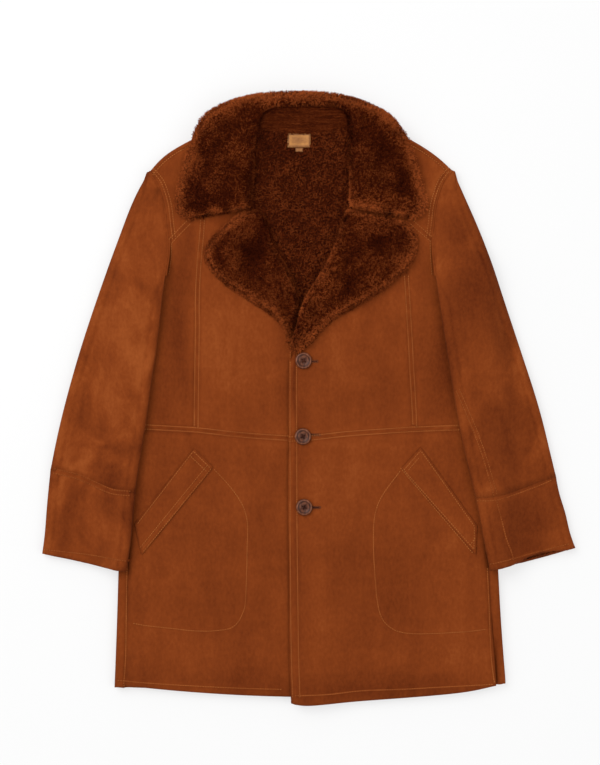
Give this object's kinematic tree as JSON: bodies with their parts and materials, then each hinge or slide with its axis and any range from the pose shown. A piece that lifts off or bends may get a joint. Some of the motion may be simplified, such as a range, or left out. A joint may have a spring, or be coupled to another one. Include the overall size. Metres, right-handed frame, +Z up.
{
  "type": "shearling coat",
  "caption": "Three-quarter-length shearling coat in rust suede, buttoned and laid flat, with a wool-side-out collar and lapels, slanted pocket welts and horn buttons",
  "frame": {"origin": "on the surface the coat lies on, under the middle of its bounding box", "axes": "+Y from hem to collar, +X to the wearer's left, +Z up out of the fronts"},
  "size_m": [0.826, 0.9501, 0.0477],
  "materials": {
    "suede": "napped rust suede, matte",
    "wool": "dense clipped wool, dark red-brown with lighter tips",
    "horn": "polished horn",
    "woven_label": "woven satin tape, bare"
  },
  "bodies": {
    "root": {"back_yoke": "suede", "back_body": "suede", "front_right_yoke": "suede", "front_right_side": "suede", "front_right_centre": "suede", "front_right_skirt": "suede", "front_left_yoke": "suede", "front_left_side": "suede", "front_left_centre": "suede", "front_left_skirt": "suede", "sleeve_right_top": "suede", "sleeve_right_under": "suede", "sleeve_left_top": "suede", "sleeve_left_under": "suede", "cuff_right_top": "suede", "cuff_right_under": "suede", "cuff_left_top": "suede", "cuff_left_under": "suede", "pocket_welt_right": "suede", "pocket_welt_left": "suede", "collar": "wool", "neck_band": "wool", "lapel_right": "wool", "lapel_left": "wool", "button_top": "horn", "button_middle": "horn", "button_lower": "horn", "label": "woven_label", "size_tab": "woven_label"}
  },
  "joints": []
}
